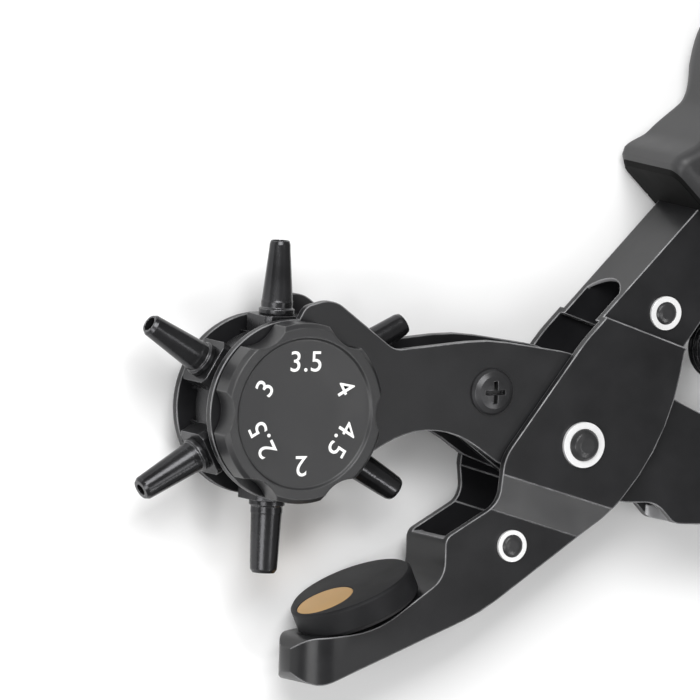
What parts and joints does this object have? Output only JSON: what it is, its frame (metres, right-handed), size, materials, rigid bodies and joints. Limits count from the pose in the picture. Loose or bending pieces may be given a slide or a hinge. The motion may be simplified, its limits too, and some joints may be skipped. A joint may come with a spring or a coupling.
{
  "type": "rotary hole punch",
  "caption": "Revolving leather hole punch: turret of cutting tubes on a numbered dial, brass-faced anvil, pressed steel levers with moulded grips and a return spring.",
  "frame": {"origin": "on the hinge axis, at the flat head of the hinge rivet that the tool lies on", "axes": "+Z along the hinge axis, up from the surface the tool lies on and out of the numbered dial; +X from the jaws towards the handles; +Y from the anvil jaw towards the upper handle"},
  "size_m": [0.2548, 0.1412, 0.0267],
  "materials": {
    "frame_steel": "semi-gloss black lacquer on pressed steel",
    "lever_steel": "semi-gloss black lacquer on pressed steel",
    "plate_steel": "satin black lacquer, bare bright edges",
    "grip": "smooth dark grey moulded rubber",
    "dial": "satin black moulded plastic with white size numbers",
    "tool_steel": "black oxide on turned steel",
    "rivet": "black, domed",
    "ring": "bright nickel",
    "screw": "black oxide",
    "spring": "black spring wire",
    "detent": "bright spring strip",
    "anvil": "semi-gloss black",
    "brass": "plain brass"
  },
  "bodies": {
    "frame": {"frame_channel": "frame_steel", "upper_grip": "grip", "anvil_disc": "anvil", "brass_pad": "brass", "anvil_rivet": "rivet", "handle_rivet": "rivet", "handle_rings": "ring", "jaw_rivet": "rivet", "jaw_rings": "ring", "hinge_rivet": "rivet", "hinge_rings": "ring", "return_spring": "spring"},
    "lever": {"lever_channel": "lever_steel", "lower_grip": "grip", "jaw_plate_front": "plate_steel", "jaw_plate_back": "plate_steel", "arm_screw": "screw", "arm_nut": "screw", "arm_spacer": "rivet", "detent_spring": "detent"},
    "turret": {"drum": "tool_steel", "dial_knob": "dial", "turret_axle": "tool_steel", "axle_cap": "rivet", "tube_2": "tool_steel", "tube_2_5": "tool_steel", "tube_3": "tool_steel", "tube_3_5": "tool_steel", "tube_4": "tool_steel", "tube_4_5": "tool_steel"}
  },
  "joints": [
    {"name": "hinge", "type": "hinge", "parent": "frame", "child": "lever", "pos_m": [0, 0, 0.0128], "axis": [0, 0, 1], "range_deg": [0, 7.8], "stiffness_Nm_per_rad": 0.6, "springref_deg": -28.65, "deforming": ["return_spring"]},
    {"name": "turret_spin", "type": "hinge", "parent": "lever", "child": "turret", "pos_m": [-0.0658, 0.0085, 0.0128], "axis": [0, 0, 1], "continuous": true}
  ]
}
